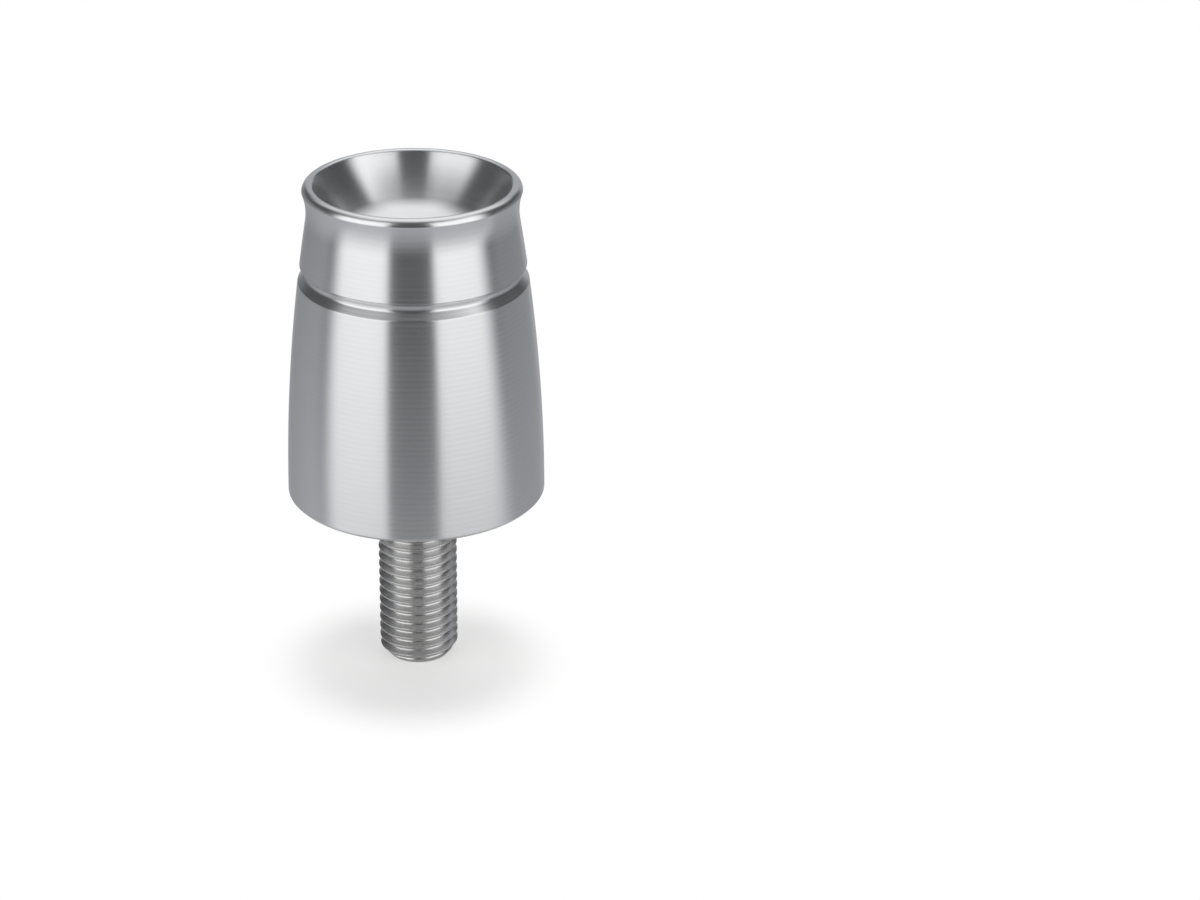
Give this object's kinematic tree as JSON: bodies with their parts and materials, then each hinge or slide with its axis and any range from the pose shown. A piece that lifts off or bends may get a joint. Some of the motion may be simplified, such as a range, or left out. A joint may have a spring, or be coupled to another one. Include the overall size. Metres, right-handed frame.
{
  "type": "bar end weight",
  "caption": "Turned end weight for a handlebar: crowned side with a step groove, waisted neck, round lip, conical recess with a hexagon key socket, and a threaded stud behind.",
  "frame": {"origin": "centre of the flat face that seats on the handlebar's end, on the common axis", "axes": "+Z along the common axis, out of the handlebar, towards the rim with the recess; the stud points to -Z. The part is round, so X and Y are free."},
  "size_m": [0.032, 0.032, 0.0633],
  "materials": {
    "anodised_aluminium": "fine turned, clear anodised, satin bright",
    "stainless_steel": "plain rolled thread, bright"
  },
  "bodies": {
    "root": {"weight_body": "anodised_aluminium", "threaded_stud": "stainless_steel"}
  },
  "joints": []
}
